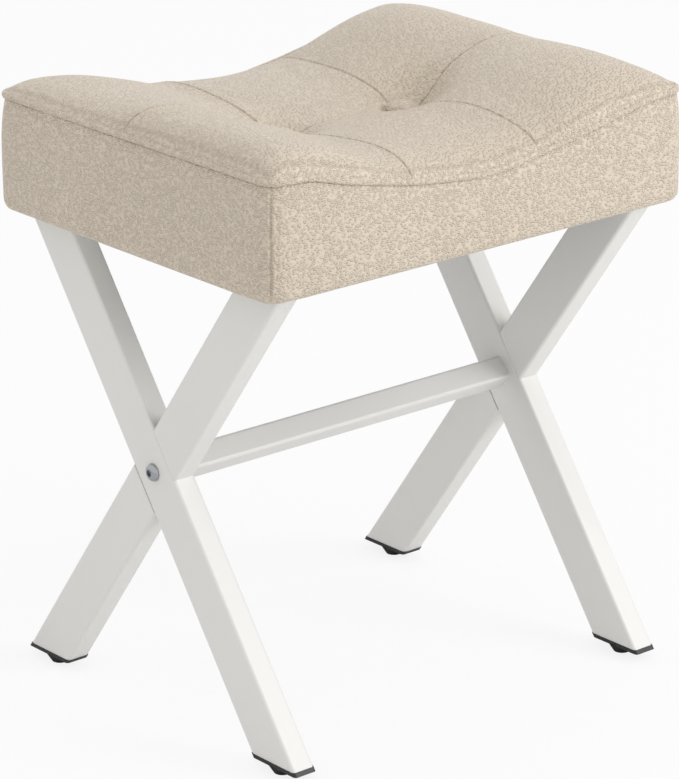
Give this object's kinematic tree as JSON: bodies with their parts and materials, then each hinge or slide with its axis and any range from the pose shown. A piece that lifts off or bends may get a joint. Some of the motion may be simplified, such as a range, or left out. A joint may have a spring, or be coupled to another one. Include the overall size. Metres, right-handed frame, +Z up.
{
  "type": "vanity stool",
  "caption": "Upholstered stool with a quilted, tufted saddle seat on two X-shaped tube frames joined by a stretcher, with levelling feet.",
  "frame": {"origin": "on the floor, under the middle of the seat, at rest with the feet screwed in", "axes": "+Z up, X along the long side of the seat, -Y the front long side; left and right are -X and +X"},
  "size_m": [0.416, 0.3306, 0.4875],
  "materials": {
    "beige_leather": "pearly pebble-grain artificial leather",
    "seat_foam": "open-cell upholstery foam",
    "plywood": "bare plywood",
    "black_nonwoven": "non-woven dust cover",
    "tufting_cord": "twisted cord",
    "white_powder_coat": "satin warm-white powder coat",
    "chrome_bolt": "bright plated",
    "zinc_steel": "zinc plated",
    "black_plastic": "fine matt moulded plastic",
    "black_rubber": "matt rubber"
  },
  "bodies": {
    "stool": {"boxing_back": "beige_leather", "boxing_front": "beige_leather", "boxing_left": "beige_leather", "boxing_right": "beige_leather", "cover_staples": "zinc_steel", "dust_cover": "black_nonwoven", "end_cap_left_back": "black_plastic", "end_cap_left_front": "black_plastic", "end_cap_right_back": "black_plastic", "end_cap_right_front": "black_plastic", "foot_nut_left_back": "zinc_steel", "foot_nut_left_front": "zinc_steel", "foot_nut_right_back": "zinc_steel", "foot_nut_right_front": "zinc_steel", "left_button": "beige_leather", "left_button_tie": "tufting_cord", "left_lower_leg": "white_powder_coat", "left_seat_plate": "white_powder_coat", "left_stretcher_bolt": "chrome_bolt", "left_stretcher_insert": "zinc_steel", "left_through_leg": "white_powder_coat", "left_tie_anchor": "zinc_steel", "left_upper_leg": "white_powder_coat", "right_button": "beige_leather", "right_button_tie": "tufting_cord", "right_lower_leg": "white_powder_coat", "right_seat_plate": "white_powder_coat", "right_stretcher_bolt": "chrome_bolt", "right_stretcher_insert": "zinc_steel", "right_through_leg": "white_powder_coat", "right_tie_anchor": "zinc_steel", "right_upper_leg": "white_powder_coat", "seat_board": "plywood", "seat_bolt_washers": "zinc_steel", "seat_bolts": "zinc_steel", "seat_foam": "seat_foam", "stretcher_tube": "white_powder_coat", "tee_nuts": "zinc_steel", "top_panel_left_back": "beige_leather", "top_panel_left_front": "beige_leather", "top_panel_middle_back": "beige_leather", "top_panel_middle_front": "beige_leather", "top_panel_right_back": "beige_leather", "top_panel_right_front": "beige_leather", "welt_cord": "tufting_cord", "welt_piping": "beige_leather"},
    "foot_left_front": {"foot_pad_left_front": "black_rubber", "foot_stud_left_front": "zinc_steel"},
    "foot_left_back": {"foot_pad_left_back": "black_rubber", "foot_stud_left_back": "zinc_steel"},
    "foot_right_front": {"foot_pad_right_front": "black_rubber", "foot_stud_right_front": "zinc_steel"},
    "foot_right_back": {"foot_pad_right_back": "black_rubber", "foot_stud_right_back": "zinc_steel"}
  },
  "joints": [
    {"name": "foot_left_front_screw", "type": "slide", "parent": "stool", "child": "foot_left_front", "axis": [0, 0, -1], "range_m": [0, 0.008]},
    {"name": "foot_left_back_screw", "type": "slide", "parent": "stool", "child": "foot_left_back", "axis": [0, 0, -1], "range_m": [0, 0.008]},
    {"name": "foot_right_front_screw", "type": "slide", "parent": "stool", "child": "foot_right_front", "axis": [0, 0, -1], "range_m": [0, 0.008]},
    {"name": "foot_right_back_screw", "type": "slide", "parent": "stool", "child": "foot_right_back", "axis": [0, 0, -1], "range_m": [0, 0.008]}
  ]
}
